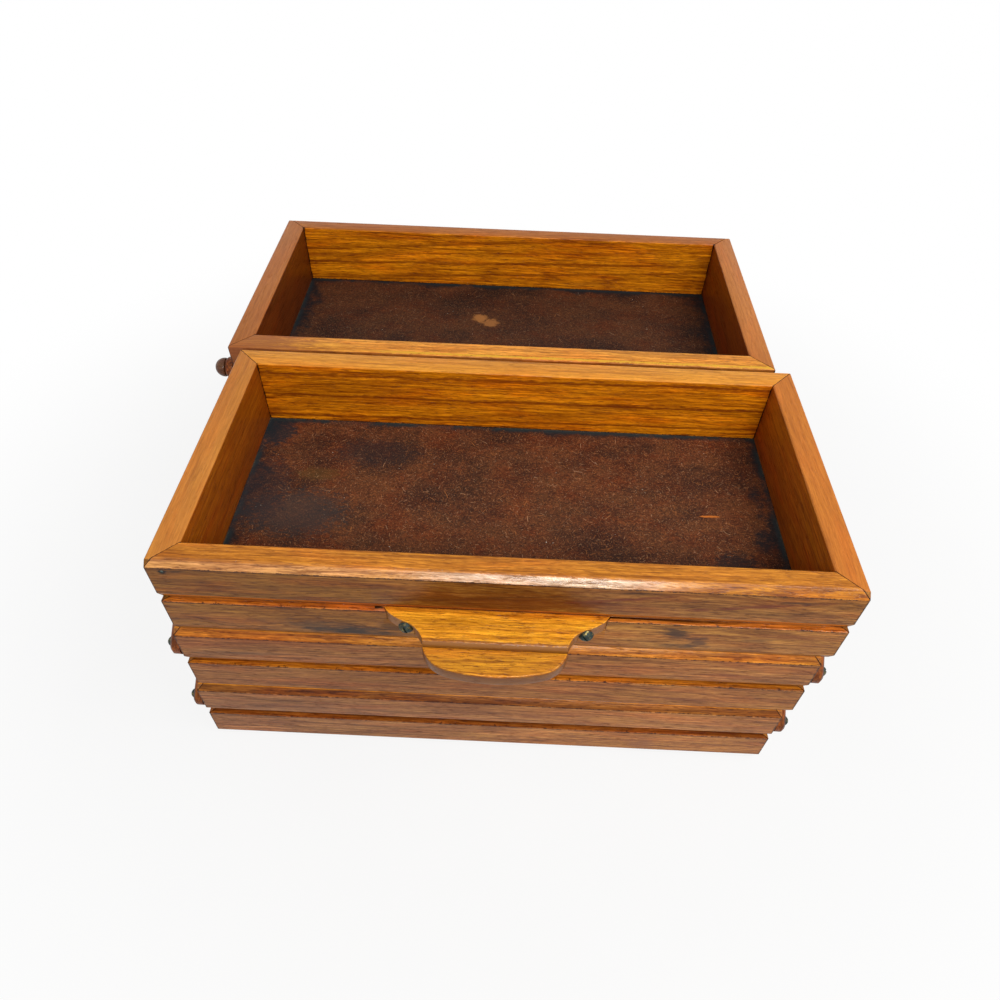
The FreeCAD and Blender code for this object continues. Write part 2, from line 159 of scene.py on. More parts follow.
# Node helpers: each method adds nodes to a material or a world and returns an output.
class Shading:
    def __init__(self, owner):
        owner.use_nodes = True
        owner.node_tree.nodes.clear()
        self.owner = owner

    def add(self, kind, inputs=None, **settings):
        node = self.owner.node_tree.nodes.new("ShaderNode" + kind)
        for name, value in settings.items():
            setattr(node, name, value)
        for key, value in (inputs or {}).items():
            self.put(node.inputs[key], value)
        return node

    def put(self, socket, value):
        if isinstance(value, bpy.types.NodeSocket):
            self.owner.node_tree.links.new(value, socket)
        elif isinstance(value, (Vector, tuple)):
            socket.default_value = tuple(value) + (1.0,) * (socket.type == "RGBA" and len(value) == 3)
        else:
            socket.default_value = value

    def math(self, operation, *values):
        return self.add("Math", dict(enumerate(values)), operation=operation).outputs[0]

    def plus(self, first, second):
        return self.math("ADD", first, second)

    def less(self, first, second):
        return self.math("SUBTRACT", first, second)

    def times(self, *factors):
        product = factors[0] if factors else 1.0
        for factor in factors[1:]:
            product = self.math("MULTIPLY", product, factor)
        return product

    # A value times a factor, on top of a base.
    def scaled(self, value, factor, base):
        return self.math("MULTIPLY_ADD", value, factor, base)

    def reach(self, first, second):
        return self.math("SQRT", self.plus(self.times(first, first), self.times(second, second)))

    # Rises smoothly from 0 to 1 between two values, or falls where the second is the lower one.
    def step(self, value, start, end):
        inputs = {"Value": value, "From Min": min(start, end), "From Max": max(start, end),
                  "To Min": float(end < start), "To Max": float(start <= end)}
        return self.add("MapRange", inputs, interpolation_type="SMOOTHSTEP").outputs[0]

    # A ragged stripe where a value is near zero.
    def stripe(self, value, half_width, ragged, raggedness):
        off = self.scaled(ragged, raggedness, self.math("ABSOLUTE", value))
        return self.step(off, half_width + raggedness / 2, half_width / 2 + raggedness / 2)

    def vector(self, operation, *values, output=0):
        return self.add("VectorMath", dict(enumerate(values)), operation=operation).outputs[output]

    def joined(self, *numbers):
        return self.add("CombineXYZ", dict(enumerate(numbers))).outputs[0]

    def split(self, point):
        return self.add("SeparateXYZ", {0: point}).outputs

    # The object's own point in millimetres.
    def place(self):
        point = self.add("TexCoord").outputs["Object"]
        return self.add("VectorMath", {0: point, "Scale": 1 / MM}, operation="SCALE").outputs[0]

    def stretch(self, point, scales, shift=(0.0, 0.0, 0.0)):
        return self.vector("MULTIPLY_ADD", point, scales, shift)

    # Noise on a point that is first stretched, by one factor or by three.
    def noise(self, point, scales=None, shift=(0.0, 0.0, 0.0), detail=2.0, roughness=0.5, distortion=0.0):
        if scales is not None:
            point = self.stretch(point, (scales,) * 3 if isinstance(scales, float) else scales, shift)
        inputs = {"Vector": point, "Scale": 1.0, "Detail": detail, "Roughness": roughness,
                  "Distortion": distortion}
        return self.add("TexNoise", inputs).outputs[0]

    # Each stop is a place from 0 to 1 with a grey or a colour.
    def ramp(self, value, stops):
        node = self.add("ValToRGB", {0: value})
        points = node.color_ramp.elements
        while len(points) < len(stops):
            points.new(0.5)
        for point, (at, colour) in zip(points, stops):
            point.position = at
            point.color = ((colour,) * 3 if isinstance(colour, float) else colour) + (1.0,)
        return node.outputs[0]

    def mix(self, share, first, second, blend="MIX"):
        node = self.add("Mix", data_type="RGBA", blend_type=blend)
        for index, value in ((0, share), (6, first), (7, second)):
            self.put(node.inputs[index], value)
        return node.outputs[2]

    # Lays paint over a colour, or multiplies it by a tint, as far as the product of the shares.
    def paint(self, colour, paint, *shares):
        return self.mix(self.times(*shares), colour, paint)

    def tint(self, colour, tint, *shares):
        return self.mix(self.times(*shares), colour, tint, "MULTIPLY")

    def bump(self, height, strength, depth):
        inputs = {"Height": height, "Strength": strength, "Distance": depth}
        return self.add("Bump", inputs).outputs[0]

    def finish(self, **inputs):
        named = {key.replace("_", " "): value for key, value in inputs.items()}
        surface = self.add("BsdfPrincipled", named)
        self.add("OutputMaterial", {"Surface": surface.outputs[0]})
        return self.owner


def new_material(name):
    return Shading(bpy.data.materials.new(name))


# A colour as it is written for a screen, 0 to 255, turned into linear light.
def rgb(red, green, blue):
    return tuple((((part / 255) + 0.055) / 1.055) ** 2.4 if part > 10 else part / 255 / 12.92
                 for part in (red, green, blue))


# Rays that the camera sees directly, in a gloss or through glass, find a white background.
def seen_rays(shade):
    path = shade.add("LightPath").outputs
    seen = shade.math("MAXIMUM", path["Is Camera Ray"], path["Is Glossy Ray"])
    return shade.math("MAXIMUM", seen, path["Is Transmission Ray"])


def make_surroundings():
    world = bpy.data.worlds.new("world")
    bpy.context.scene.world = world
    shade = Shading(world)
    sky = shade.add("Background", {"Color": SKY_COLOUR, "Strength": SKY_STRENGTH})
    backdrop = shade.add("Background", {"Color": WHITE, "Strength": 1.0})
    seen = shade.add("MixShader", {0: seen_rays(shade), 1: sky.outputs[0], 2: backdrop.outputs[0]})
    shade.add("OutputWorld", {"Surface": seen.outputs[0]})

    shade = new_material("pale_floor")
    grain = shade.noise(shade.place(), 0.02, detail=3.0)
    plain = shade.add("BsdfDiffuse", {"Color": shade.ramp(grain, ((0.3, 0.64), (0.7, 0.67)))})
    white = shade.add("Emission", {"Color": WHITE, "Strength": 1.0})
    away = shade.vector("LENGTH", shade.place(), output="Value")
    share = shade.scaled(shade.step(away, FADE_START, FADE_END), 1.0 - NEAR_WHITE, NEAR_WHITE)
    share = shade.times(seen_rays(shade), share)
    both = shade.add("MixShader", {0: share, 1: plain.outputs[0], 2: white.outputs[0]})
    shade.add("OutputMaterial", {"Surface": both.outputs[0]})
    mesh = bmesh.new()
    bmesh.ops.create_grid(mesh, x_segments=1, y_segments=1, size=FLOOR_HALF)
    floor = add_object("pale_floor", mesh, shade.owner)
    floor.location.z = cad_low.z


# Wood

# A wood's mean colour, then how wide its rings are and how far its fibres bend, in millimetres, and
# how strongly its rings, long lines, streaks and pores show.
Wood = namedtuple("Wood", "tone gap bend ripple rings lines streaks pores")

# How the fibres run through a piece: along it, across its face, and where the pith lies from its
# middle, with the slope of the pith along the piece.
Grain = namedtuple("Grain", "along across pith slope")

BRIGHT_TONE = rgb(206, 128, 38)
TRAY_TONE = rgb(172, 104, 44)
LINK_WOOD = Wood(rgb(150, 80, 28), 2.6, 3.0, 1.0, 0.6, 0.8, 0.9, 0.7)
PEG_WOOD = Wood(rgb(112, 76, 56), 1.6, 1.0, 0.4, 0.7, 0.6, 0.9, 0.8)
PULL_WOOD = Wood(rgb(232, 156, 38), 5.2, 10.0, 2.0, 0.75, 0.6, 0.8, 0.8)

# How dark a ring is across one year, and what each pattern multiplies the wood's colour by.
RING_STOPS = ((0.0, 0.5), (0.10, 0.0), (0.55, 0.12), (0.86, 0.75), (0.94, 1.0), (1.0, 0.5))
LINE_TINTS = ((0.34, (0.48, 0.36, 0.24)), (0.46, (0.92, 0.90, 0.86)), (0.54, (1.07, 1.09, 1.12)),
              (0.66, (1.34, 1.40, 1.5)))
STREAK_TINTS = ((0.34, (0.54, 0.42, 0.28)), (0.49, (0.98, 0.97, 0.95)), (0.64, (1.36, 1.42, 1.5)))
HAIR_TINTS = ((0.34, (0.60, 0.50, 0.42)), (0.5, 1.0), (0.66, (1.28, 1.33, 1.40)))
PATCH_TINTS = ((0.30, (0.82, 0.76, 0.68)), (0.5, 1.0), (0.70, (1.14, 1.18, 1.22)))
HUE_TINTS = ((0.34, (1.06, 0.88, 0.76)), (0.5, 1.0), (0.66, (0.98, 1.03, 0.9)))
RING_TINT = (0.50, 0.34, 0.20)
PORE_TINT = (0.36, 0.26, 0.18)


# Colour, relief and pores: rings about a distant pith, streaks and uneven tone.
def wood_layers(shade, wood, tone, grain, seed):
    draw = random.Random(seed)
    point = shade.place()
    axes = (grain.along, grain.across, grain.along.cross(grain.across))
    along, across, deep = (shade.vector("DOT_PRODUCT", point, axis, output="Value") for axis in axes)
    shift = tuple(draw.uniform(-400, 400) for axis in axes)

    # The fibres bend slowly along the piece, and rings, streaks and pores follow them.
    straight = shade.joined(along, across, deep)
    bend = shade.less(shade.noise(straight, (0.007, 0.012, 0.012), shift), 0.5)
    ripple = shade.less(shade.noise(straight, (0.035, 0.05, 0.05), shift), 0.5)
    bend = shade.scaled(bend, wood.bend, shade.times(ripple, wood.ripple))
    across = shade.plus(across, bend)
    deep = shade.scaled(bend, 0.6, deep)
    flow = shade.joined(along, across, deep)

    def pattern(lengthways, sideways, **settings):
        return shade.noise(flow, (lengthways, sideways, sideways), shift, **settings)

    side = shade.plus(across, grain.pith[0])
    depth = shade.scaled(along, grain.slope, shade.plus(deep, grain.pith[1]))
    years = shade.math("DIVIDE", shade.reach(side, depth), wood.gap)
    ring = shade.math("FRACT", shade.scaled(pattern(0.004, 0.07), 2.4, years))
    fade = shade.step(pattern(0.012, 0.10), 0.32, 0.62)
    late = shade.times(shade.ramp(ring, RING_STOPS), shade.scaled(fade, 0.8, 0.2))

    line = pattern(0.006, 0.75, detail=4.0, roughness=0.72)
    streak = pattern(0.05, 0.95, detail=4.0, roughness=0.75)
    hair = pattern(0.14, 2.1, detail=3.0, roughness=0.7)
    pores = shade.step(shade.scaled(late, 0.06, pattern(0.16, 1.3, roughness=0.6)), 0.58, 0.68)
    patch = pattern(0.012, 0.04, detail=3.0)
    hue = shade.noise(flow, (0.02, 0.13, 0.13), shift[::-1], detail=3.0, roughness=0.6)
    for value, tints, share in ((line, LINE_TINTS, wood.lines), (streak, STREAK_TINTS, wood.streaks),
                                (hair, HAIR_TINTS, wood.streaks), (patch, PATCH_TINTS, 1.0),
                                (hue, HUE_TINTS, 1.0)):
        tone = shade.tint(tone, shade.ramp(value, tints), share)
    tone = shade.tint(tone, RING_TINT, late, wood.rings)
    tone = shade.tint(tone, PORE_TINT, pores, wood.pores)
    relief = shade.scaled(pores, -1.0, shade.times(hair, 0.6))
    return tone, relief, pores


# gloss is the share of the clear coat, which has worn thin.
def varnish(shade, colour, relief, pores, gloss):
    return shade.finish(Base_Color=colour, Roughness=shade.scaled(pores, 0.14, 0.40),
                        Normal=shade.bump(relief, 0.4, 0.10 * MM), Specular_IOR_Level=0.10,
                        Coat_Weight=gloss, Coat_Roughness=0.16,
                        Coat_Normal=shade.bump(relief, 0.9, 0.14 * MM))


# Boards

# Colours of the outer faces at their left and right ends, darkest on the front of the top tray. They are
# darker than the rims and lighter to the right and lower down: partly the wood's own tone, partly
# painted light that falls from the right and bounces up from the floor. The rear trays have one colour.
FACE_TONES_AND_LIGHT = {
    "front_top_tray": (rgb(132, 84, 30), rgb(150, 98, 42)),
    "front_middle_tray": (rgb(148, 94, 46), rgb(160, 102, 46)),
    "base": (rgb(154, 100, 54), rgb(176, 114, 54)),
}

# Colours of the inner faces of the top trays' end boards, darkest in the rear tray: painted shade on
# walls that the light only grazes. Then the colour of all the other inner faces.
SHADED_INNER_TONES = {
    ("front_top_tray", "left"): rgb(142, 72, 10),
    ("front_top_tray", "right"): rgb(172, 92, 20),
    ("rear_top_tray", "left"): rgb(96, 42, 7),
    ("rear_top_tray", "right"): rgb(132, 60, 8),
}
INNER_TONE = rgb(212, 126, 12)

# Colours of the rims of the top trays, apart from those that are bright.
RIM_TONES = {
    ("front_top_tray", "left"): rgb(200, 128, 54),
    ("front_top_tray", "right"): rgb(198, 118, 46),
    ("rear_top_tray", "left"): rgb(176, 106, 50),
    ("rear_top_tray", "right"): rgb(190, 116, 52),
    ("rear_top_tray", "rear"): rgb(176, 104, 42),
    ("front_top_tray", "front"): rgb(196, 122, 40),
    ("front_top_tray", "rear"): rgb(224, 148, 50),
    ("rear_top_tray", "front"): rgb(222, 148, 56),
}

# Colours of the bevels under the rims at their left and right ends, the colour of the ledges, and the
# share of gloss on both. The pale pink at the left of the front top tray's bevel is a painted reflection,
# and the darker bevel of the base is painted shade under the middle tray.
BEVEL_TONES = {
    "front_top_tray": (rgb(210, 146, 86), rgb(188, 116, 18), rgb(200, 116, 40), 0.45),
    "front_middle_tray": (rgb(192, 118, 34), rgb(196, 122, 36), rgb(186, 112, 28), 0.1),
    "base": (rgb(130, 74, 24), rgb(150, 88, 30), rgb(146, 80, 26), 0.0),
}
PLAIN_BEVEL = (BRIGHT_TONE, BRIGHT_TONE, BRIGHT_TONE, 0.2)

# A pale painted highlight along the front top tray's bevel: where it lies from the bevel's middle, where
# it starts and where it is whole, in millimetres.
HIGHLIGHT_MIDDLE, HIGHLIGHT_HALF, HIGHLIGHT_WHOLE = 15.0, 78.0, 30.0
HIGHLIGHT_TONE = rgb(232, 204, 176)

# The rear top tray's front rim is darker at its left, with a gold painted highlight along its front edge.
DARK_LEFT_TONE = rgb(146, 84, 48)
GOLD_HIGHLIGHT_TONE = rgb(222, 168, 50)

# Dark dirt, also used as painted shade round the links' pivots.
DIRT_AND_SHADE = rgb(38, 17, 8)
ARRIS_DIRT = rgb(54, 22, 8)
NOTCH_DIRT_AND_SHADE = rgb(70, 34, 12)
CORNER_SHADE_TINT = (0.62, 0.46, 0.30)
RED_STREAK = rgb(104, 42, 20)
FAIR_STREAK = (1.25, 1.3, 1.4)
BROWN_LINE = rgb(112, 44, 5)

# Dark lines along the inner faces of the long boards, in millimetres below the rim: where each one
# lies at the middle of the board, how much it rises to the right, and how wide and strong it is.
Line = namedtuple("Line", "drop rise half_width strength")
INNER_LINES = {
    "front_top_tray": [
        Line(4.6, 0.010, 0.8, 0.8),
        Line(9.5, -0.012, 0.4, 0.35),
        Line(19.0, 0.006, 0.7, 0.8),
        Line(26.5, -0.006, 0.4, 0.3),
        Line(33.0, 0.012, 0.6, 0.65),
    ],
    "rear_top_tray": [
        Line(5.0, 0.075, 0.8, 0.6),
        Line(13.0, 0.045, 0.6, 0.45),
        Line(20.5, 0.030, 0.8, 0.7),
        Line(29.0, 0.055, 0.6, 0.6),
    ],
}

# Stains, and on the front top tray a painted reflection of the pull: where each one lies, in millimetres,
# half sizes, turn in degrees, colour and strength. Those of a front board are measured from its middle
# and its lower edge.
Mark = namedtuple("Mark", "x y half_x half_y turn colour strength")

# How ragged a stain's edge is, then where it starts and where it is whole, in half sizes.
FRONT_FADE = (2.2, 2.1, 1.3)
FLOOR_FADE = (2.4, 2.4, 1.8)
FRONT_MARKS = {
    "front_top_tray": [
        Mark(-80, 11, 34, 6.0, -2, (52, 36, 28), 0.65),
        Mark(-66, 8, 26, 4.4, -3, (34, 26, 22), 0.85),
        Mark(-50, 13, 12, 4.0, -8, (50, 36, 28), 0.6),
        # A painted reflection of the pull in the glossy face above it.
        Mark(2, 36, 64, 13, 2, (98, 44, 4), 0.7),
        Mark(76, 18, 11, 6, -10, (44, 30, 26), 0.8),
        Mark(87, 12, 7, 7, 20, (58, 38, 32), 0.7),
        Mark(79, 8, 12, 3, 0, (44, 30, 26), 0.55),
        Mark(112, 15, 10, 2, 8, (70, 44, 30), 0.5),
        Mark(104, 40, 40, 1.6, 9, (104, 42, 20), 0.75),
        Mark(48, 41, 30, 1.4, 10, (104, 42, 20), 0.75),
        Mark(-20, 36, 44, 1.3, 4, (84, 38, 12), 0.6),
        Mark(10, 40, 36, 0.9, 6, (64, 30, 10), 0.55),
        Mark(-110, 38, 26, 1.2, 3, (84, 42, 16), 0.5),
        Mark(122, 44, 12, 1.6, 3, (48, 30, 24), 0.65),
        Mark(54, 46, 12, 1.0, 4, (30, 20, 18), 0.6),
        Mark(-143, 46.3, 2.4, 1.9, 0, (18, 12, 10), 0.95),
        Mark(-136, 46.6, 6, 0.8, 3, (40, 22, 14), 0.8),
    ],
    "front_middle_tray": [
        Mark(-120, 36, 30, 2.2, 2, (104, 70, 44), 0.5),
        Mark(-30, 14, 50, 1.6, 1, (112, 70, 36), 0.45),
        Mark(96, 12, 30, 2.0, -2, (112, 62, 36), 0.5),
    ],
    "base": [
        Mark(66, 37, 20, 5, -4, (206, 138, 66), 0.5),
        Mark(84, 12, 13, 8, -30, (130, 76, 50), 0.55),
        Mark(-70, 36, 40, 1.4, 1, (116, 72, 40), 0.45),
        Mark(110, 36, 26, 1.6, -3, (130, 74, 40), 0.45),
    ],
}


# One board of a tray, and where its points lie, as shader values in millimetres.
class Board:
    def __init__(self, node, tray, side):
        self.tray, self.side = tray, side
        self.low, self.high = tray_box[tray]
        self.is_long = side in ("front", "rear")
        self.is_moulded = self.is_long and (tray == "base" or tray.split("_")[0] == side)
        self.shade = shade = new_material(node + "_wood")
        self.point = shade.place()
        x, y, self.z = shade.split(self.point)
        offs = {
            "left": shade.less(x, self.low.x),
            "right": shade.less(self.high.x, x),
            "front": shade.less(y, self.low.y),
            "rear": shade.less(self.high.y, y),
        }
        self.depth = offs[side]
        ends = ("left", "right") if self.is_long else ("front", "rear")
        self.end = shade.math("MINIMUM", *(offs[name] for name in ends))
        self.from_middle = shade.less(x, (self.low.x + self.high.x) / 2)
        self.from_rim = shade.less(self.high.z, self.z)
        self.from_foot = shade.less(self.z, self.low.z)
        self.grit = shade.noise(self.point, 0.45, detail=4.0, roughness=0.7)
        self.blotch = shade.noise(self.point, (0.10, 0.10, 0.16), detail=3.0, roughness=0.6)
        self.inside = shade.step(self.depth, WALL - 1.0, WALL - 0.6)
        self.rim = shade.step(self.from_rim, 0.7, 0.25)
        self.rim_tone = RIM_TONES.get((tray, side), BRIGHT_TONE)


# The tones of a board's outer face, inner face, moulding and rim, and the gloss of its moulding.
def board_tones(board):
    shade = board.shade
    left_tone, right_tone = FACE_TONES_AND_LIGHT.get(board.tray, (TRAY_TONE, TRAY_TONE))
    outer_tone = shade.mix(shade.step(board.from_middle, -90.0, 90.0), left_tone, right_tone)
    inner_tone = SHADED_INNER_TONES.get((board.tray, board.side), INNER_TONE)
    tone = shade.mix(shade.step(board.depth, WALL - 0.7, WALL - 0.3), outer_tone, inner_tone)
    edge_gloss = 0.0
    if board.is_moulded:
        tone, edge_gloss = moulding_tones(board, tone)
    return shade.mix(board.rim, tone, board.rim_tone), edge_gloss


def moulding_tones(board, tone):
    shade, foot = board.shade, board.from_foot
    tones = BEVEL_TONES[board.tray] if board.side == "front" else PLAIN_BEVEL
    left_tone, right_tone, ledge_tone, gloss = tones
    outer = shade.step(board.depth, MOULDING_DEPTH, MOULDING_DEPTH - 0.4)
    below_rim = shade.scaled(board.grit, 1.6, board.from_rim)
    bevel = shade.times(outer, shade.step(below_rim, BEVEL_HEIGHT + 1.2, BEVEL_HEIGHT + 0.7))
    ledge = shade.times(outer, shade.step(foot, LEDGE_HEIGHT - 0.25, LEDGE_HEIGHT - 0.1),
                        shade.step(foot, LEDGE_HEIGHT + 0.9, LEDGE_HEIGHT + 0.4))
    # The underside of the lip over the notch takes the ledge's lighter tone: painted light in its shade.
    overhang = shade.times(shade.step(foot, LEDGE_HEIGHT - 0.2, LEDGE_HEIGHT),
                           shade.step(foot, NOTCH_TOP, NOTCH_TOP - 0.6),
                           shade.step(board.depth, 0.3, 0.7), outer)
    bevel_tone = shade.mix(shade.step(board.from_middle, -110.0, 110.0), left_tone, right_tone)
    # A pale painted highlight near the middle of the front top tray's bevel.
    if board.tray == "front_top_tray":
        off = shade.math("ABSOLUTE", shade.less(board.from_middle, HIGHLIGHT_MIDDLE))
        highlight = shade.step(shade.scaled(board.grit, 20.0, off), HIGHLIGHT_HALF, HIGHLIGHT_WHOLE)
        bevel_tone = shade.mix(shade.times(highlight, 0.7), bevel_tone, HIGHLIGHT_TONE)
    tone = shade.mix(bevel, tone, bevel_tone)
    tone = shade.mix(shade.math("MAXIMUM", ledge, overhang), tone, ledge_tone)
    if board.tray == "front_top_tray":
        lower = shade.times(outer, shade.step(foot, LEDGE_HEIGHT, LEDGE_HEIGHT - 0.6))
        tone = shade.tint(tone, (1.18, 1.17, 1.12), lower)
    return tone, shade.times(shade.math("MAXIMUM", bevel, ledge), gloss)


# Long red and fair smears along the fibres.
def add_smears(board, colour, seed, strength):
    shade = board.shade
    scales = (0.012, 0.3, 0.13) if board.is_long else (0.3, 0.014, 0.10)
    smear = shade.noise(board.point, scales, (seed * 7.0, seed * 3.0, 0.0), detail=3.0, roughness=0.6)
    red = shade.times(shade.step(smear, 0.58, 0.72), 0.45 * strength)
    fair = shade.times(shade.step(smear, 0.42, 0.30), 0.35 * strength)
    return shade.tint(shade.paint(colour, RED_STREAK, red), FAIR_STREAK, fair)


# Wavering dark lines along an inner face.
def add_inner_lines(board, colour):
    shade = board.shade
    for index, line in enumerate(INNER_LINES.get(board.tray, ())):
        waver = shade.joined(shade.times(board.from_middle, 0.018), index * 9.0, 0.0)
        sloped = shade.scaled(board.from_middle, line.rise, board.from_rim)
        level = shade.scaled(shade.noise(waver, detail=3.0), 3.6, sloped)
        along, down = shade.times(board.from_middle, 0.25), shade.times(board.from_rim, 0.9)
        grit = shade.noise(shade.joined(along, down, index * 5.0), detail=3.0)
        off = shade.scaled(grit, 2.4, shade.math("ABSOLUTE", shade.less(level, line.drop + 1.8)))
        mark = shade.step(off, line.half_width * 2.2 + 1.2, 1.2)
        colour = shade.paint(colour, BROWN_LINE, mark, board.inside, line.strength)
    return colour


def add_marks(shade, colour, marks, x, y, ragged, fade):
    raggedness, start, end = fade
    for mark in marks:
        turn = math.radians(mark.turn)
        from_x, from_y = shade.less(x, mark.x), shade.less(y, mark.y)
        lengthways = shade.scaled(from_x, math.cos(turn) / mark.half_x,
                                  shade.times(from_y, math.sin(turn) / mark.half_x))
        sideways = shade.scaled(from_x, -math.sin(turn) / mark.half_y,
                                shade.times(from_y, math.cos(turn) / mark.half_y))
        reach = shade.scaled(ragged, raggedness, shade.reach(lengthways, sideways))
        colour = shade.paint(colour, rgb(*mark.colour), shade.step(reach, start, end), mark.strength)
    return colour


# The darker left part of a front rim, and a gold painted highlight along it.
def add_dark_left_and_highlight(board, colour, ragged):
    shade = board.shade
    dark_left = shade.step(shade.scaled(ragged, 90.0, board.from_middle), -42.0, -84.0)
    colour = shade.paint(colour, DARK_LEFT_TONE, dark_left, 0.75)
    # A painted highlight along the rim's front edge.
    gold_highlight = shade.stripe(shade.less(board.depth, 1.5), 0.9, board.grit, 3.4)
    left = shade.step(board.from_middle, -85.0, -40.0)
    return shade.paint(colour, GOLD_HIGHLIGHT_TONE, gold_highlight, left, board.rim, 0.9)


# Dirt in the mitres, the inner corners, the joint with the floor and at the edges; painted shade on the
# inner faces near the corners; dirt and painted shade in the notch.
def add_dirt_and_shade(board, colour):
    shade, grit, depth, end = board.shade, board.grit, board.depth, board.end
    mitre = shade.stripe(shade.less(end, depth), 0.35, grit, 0.7)
    colour = shade.paint(colour, DIRT_AND_SHADE, mitre, 0.85)
    corner = shade.stripe(shade.less(end, WALL), 0.35, board.blotch, 2.6)
    colour = shade.paint(colour, DIRT_AND_SHADE, corner, board.inside, 0.8)
    joint = shade.stripe(shade.less(board.z, board.low.z + FLOOR_HEIGHT), 0.7, grit, 2.6)
    colour = shade.paint(colour, DIRT_AND_SHADE, joint, board.inside, 0.75)
    # Painted shade on the inner faces near the corners.
    corner_shade = shade.step(shade.scaled(board.blotch, 14.0, end), 26.0, 17.0)
    colour = shade.tint(colour, CORNER_SHADE_TINT, board.inside, corner_shade, 0.45)
    if board.is_moulded:
        for level, strength in ((board.high.z - BEVEL_HEIGHT - 0.3, 0.9),
                                (board.low.z + LEDGE_HEIGHT - 0.45, 0.85)):
            arris = shade.stripe(shade.less(board.z, level), 0.3, grit, 1.9)
            arris = shade.times(arris, shade.step(depth, 1.4, 0.9), strength)
            colour = shade.paint(colour, ARRIS_DIRT, arris)
        # Dirt and painted shade in the notch under the lip.
        notch = shade.times(shade.step(depth, 2.0, 3.2), shade.step(depth, MOULDING_DEPTH, 3.4),
                            shade.step(board.from_foot, LEDGE_HEIGHT - 2.8, LEDGE_HEIGHT - 1.8),
                            shade.step(board.from_foot, NOTCH_TOP, NOTCH_TOP - 1.0))
        colour = shade.paint(colour, NOTCH_DIRT_AND_SHADE, notch, 0.7)
    tips = shade.step(shade.scaled(grit, 2.6, end), 2.4, 1.5)
    colour = shade.paint(colour, DIRT_AND_SHADE, tips, 0.8)
    foot = shade.step(shade.scaled(grit, 1.6, board.from_foot), 1.5, 0.9)
    return shade.paint(colour, DIRT_AND_SHADE, foot, 0.6)


# The end boards have a fainter figure, and their inner faces are paler towards the rim.
def board_material(node, tray, side, seed):
    board = Board(node, tray, side)
    shade = board.shade
    low, high = board.low, board.high
    tone, edge_gloss = board_tones(board)

    draw = random.Random(seed)
    pith = (draw.uniform(16, 42) * draw.choice((-1, 1)), draw.choice((-1, 1)) * draw.uniform(40, 70))
    if tray == "base" and side == "front":
        pith = (-low.z - 28, 55)
    pith = (pith[0] - (low.z + high.z) / 2, pith[1])
    grain = Grain(X if board.is_long else Y, Z, pith, draw.uniform(-0.06, 0.06))
    strength = 1.0 if board.is_long else 0.55
    shares = (share * strength for share in (0.6, 0.75, 0.9, 0.7))
    wood = Wood(None, draw.uniform(2.2, 3.4), 9.0, 1.8, *shares)
    colour, relief, pores = wood_layers(shade, wood, tone, grain, seed)
    colour = shade.paint(colour, board.rim_tone, board.rim, 0.2 if side == "front" else 0.5)
    if not board.is_long:
        upper = shade.step(shade.scaled(board.blotch, 14.0, board.from_rim), 30.0, 8.0)
        upper = shade.times(upper, board.inside, shade.step(board.from_rim, 0.6, 1.2))
        colour = shade.tint(colour, (1.25, 1.4, 1.5), upper)

    colour = add_smears(board, colour, seed, strength)
    if side == "rear":
        colour = add_inner_lines(board, colour)
    streaky = shade.noise(board.point, (0.12, 0.3, 0.55), detail=4.0, roughness=0.65)
    if side == "front":
        colour = add_marks(shade, colour, FRONT_MARKS.get(tray, ()), board.from_middle, board.from_foot,
                           streaky, FRONT_FADE)
        if tray == "rear_top_tray":
            colour = add_dark_left_and_highlight(board, colour, streaky)
    colour = add_dirt_and_shade(board, colour)
    return varnish(shade, colour, relief, pores, shade.plus(edge_gloss, 0.13))


# Hardboard

# Layers of fibres: the size of a cell in millimetres, the longest half length and the half width as
# shares of it, the share of cells that hold a fibre, and how strongly it shows.
FIBRE_LAYERS = (
    (1.0, 0.5, 0.16, 0.8, 0.32),
    (1.7, 0.48, 0.10, 0.7, 0.40),
    (3.0, 0.45, 0.060, 0.45, 0.42),
    (5.0, 0.36, 0.038, 0.25, 0.5),
    (11.0, 0.22, 0.020, 0.2, 0.65),
)
FIBRE_COLOURS = ((0.1, rgb(128, 70, 38)), (0.4, rgb(168, 104, 58)), (0.7, rgb(196, 124, 66)),
                 (0.93, rgb(206, 160, 122)))

# The board's colour by its fine noise, then what its coarser patterns multiply that by.
FINE_COLOURS = ((0.32, rgb(42, 24, 16)), (0.48, rgb(82, 46, 28)), (0.60, rgb(100, 56, 33)),
                (0.74, rgb(128, 74, 44)))
COARSE_TINTS = ((0.36, (0.46, 0.50, 0.66)), (0.45, (0.74, 0.76, 0.86)), (0.52, (1.02, 1.0, 0.98)),
                (0.66, (1.34, 1.28, 1.12)))
CLOUD_TINTS = ((0.36, (1.04, 0.82, 0.70)), (0.5, 1.0), (0.66, (0.98, 1.08, 1.06)))
MAT_TINTS = ((0.34, (0.56, 0.52, 0.52)), (0.5, 1.0), (0.64, (1.34, 1.30, 1.22)))
WALL_DARKENING = rgb(26, 27, 31)
EDGE_DARKENING = rgb(38, 46, 49)
DUST = rgb(100, 88, 66)
SPECK = rgb(214, 206, 190)
FLOOR_TINTS = {"rear_top_tray": (0.56, 0.59, 0.64)}

